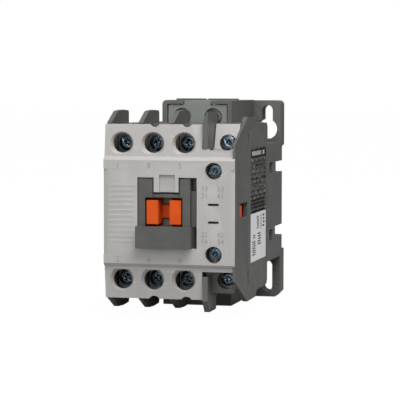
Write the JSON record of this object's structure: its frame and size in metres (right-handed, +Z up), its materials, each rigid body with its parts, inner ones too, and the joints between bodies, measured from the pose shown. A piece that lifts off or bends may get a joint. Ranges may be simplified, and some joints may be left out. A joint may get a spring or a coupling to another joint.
{
  "type": "DIN rail contactor",
  "caption": "Three-pole coil-driven contactor with an auxiliary column, for a 35 mm top-hat rail or screw mounting; its carrier, contact bridges and rail latch move.",
  "frame": {"origin": "centre of the rail seat, where the rail's flanges rest", "axes": "+X right along the rail, +Y from the front to the rail, +Z up; the front faces -Y"},
  "size_m": [0.045, 0.0874, 0.0735],
  "materials": {
    "dark_housing": "fine moulded grain, dark grey",
    "light_cover": "satin moulded light grey",
    "guide_plastic": "satin dark grey",
    "lamination_steel": "stacked laminations, ground pole faces",
    "copper": "plain copper",
    "rubber_pad": "black rubber",
    "bobbin_plastic": "moulded greenish grey",
    "winding_tape": "varnished winding under amber tape",
    "brass_terminal": "stamped brass",
    "zinc_screw": "blue zinc plate",
    "zinc_washer": "zinc plate",
    "contact_copper": "stamped copper alloy",
    "silver_tip": "dull silver alloy",
    "dark_label": "printed dark panel",
    "white_sticker": "satin white film",
    "latch_plastic": "satin black",
    "spring_steel": "spring wire",
    "orange_carrier": "semi-gloss orange"
  },
  "bodies": {
    "frame": {"base_housing": "dark_housing", "main_housing": "dark_housing", "front_cover": "light_cover", "accessory_guide": "guide_plastic", "fixed_core": "lamination_steel", "shading_rings": "copper", "core_cushion": "rubber_pad", "coil_bobbin": "bobbin_plastic", "coil_winding": "winding_tape", "coil_terminal_a1": "brass_terminal", "coil_terminal_a2": "brass_terminal", "coil_terminal_screws": "zinc_screw", "coil_clamp_washers": "zinc_washer", "line_contact_1": "contact_copper", "line_contact_2": "contact_copper", "line_contact_3": "contact_copper", "load_contact_1": "contact_copper", "load_contact_2": "contact_copper", "load_contact_3": "contact_copper", "fixed_contact_tips": "silver_tip", "no_contact_upper": "contact_copper", "no_contact_lower": "contact_copper", "nc_contact_upper": "contact_copper", "nc_contact_lower": "contact_copper", "aux_fixed_tips": "silver_tip", "main_terminal_screws": "zinc_screw", "main_clamp_washers": "zinc_washer", "aux_terminal_screws": "zinc_screw", "aux_clamp_washers": "zinc_washer", "rating_label": "dark_label", "type_sticker": "white_sticker", "rail_latch_spring": "spring_steel", "return_springs": "spring_steel"},
    "rail_latch": {"rail_latch": "latch_plastic"},
    "carrier": {"contact_carrier": "orange_carrier", "armature": "lamination_steel", "armature_pin": "zinc_washer", "contact_spring_1": "spring_steel", "contact_spring_2": "spring_steel", "contact_spring_3": "spring_steel", "no_spring": "spring_steel", "nc_spring": "spring_steel"},
    "bridge_1": {"contact_bridge_1": "contact_copper", "bridge_tips_1": "silver_tip"},
    "bridge_2": {"contact_bridge_2": "contact_copper", "bridge_tips_2": "silver_tip"},
    "bridge_3": {"contact_bridge_3": "contact_copper", "bridge_tips_3": "silver_tip"},
    "no_bridge": {"no_bridge": "contact_copper"},
    "nc_bridge": {"nc_bridge": "contact_copper"}
  },
  "joints": [
    {"name": "rail_latch_slide", "type": "slide", "parent": "frame", "child": "rail_latch", "axis": [0, 0, -1], "range_m": [0, 0.004], "stiffness_N_per_m": 2500, "springref_m": -0.002, "deforming": ["rail_latch_spring"]},
    {"name": "carrier_stroke", "type": "slide", "parent": "frame", "child": "carrier", "axis": [0, 1, 0], "range_m": [0, 0.0055], "stiffness_N_per_m": 900, "springref_m": -0.004, "deforming": ["return_springs"]},
    {"name": "bridge_1_overtravel", "type": "slide", "parent": "carrier", "child": "bridge_1", "axis": [0, 1, 0], "range_m": [-0.0016, 0], "deforming": ["contact_spring_1"]},
    {"name": "bridge_2_overtravel", "type": "slide", "parent": "carrier", "child": "bridge_2", "axis": [0, 1, 0], "range_m": [-0.0016, 0], "deforming": ["contact_spring_2"]},
    {"name": "bridge_3_overtravel", "type": "slide", "parent": "carrier", "child": "bridge_3", "axis": [0, 1, 0], "range_m": [-0.0016, 0], "deforming": ["contact_spring_3"]},
    {"name": "no_bridge_overtravel", "type": "slide", "parent": "carrier", "child": "no_bridge", "axis": [0, 1, 0], "range_m": [-0.0016, 0], "deforming": ["no_spring"]},
    {"name": "nc_bridge_overtravel", "type": "slide", "parent": "carrier", "child": "nc_bridge", "axis": [0, 1, 0], "range_m": [-0.0016, 0], "deforming": ["nc_spring"]}
  ],
  "couplings": [
    {"joint": "bridge_1_overtravel", "follows": "carrier_stroke", "ratio": -0.27273},
    {"joint": "bridge_2_overtravel", "follows": "carrier_stroke", "ratio": -0.27273},
    {"joint": "bridge_3_overtravel", "follows": "carrier_stroke", "ratio": -0.27273},
    {"joint": "no_bridge_overtravel", "follows": "carrier_stroke", "ratio": -0.27273},
    {"joint": "nc_bridge_overtravel", "follows": "carrier_stroke", "ratio": -0.27273}
  ]
}
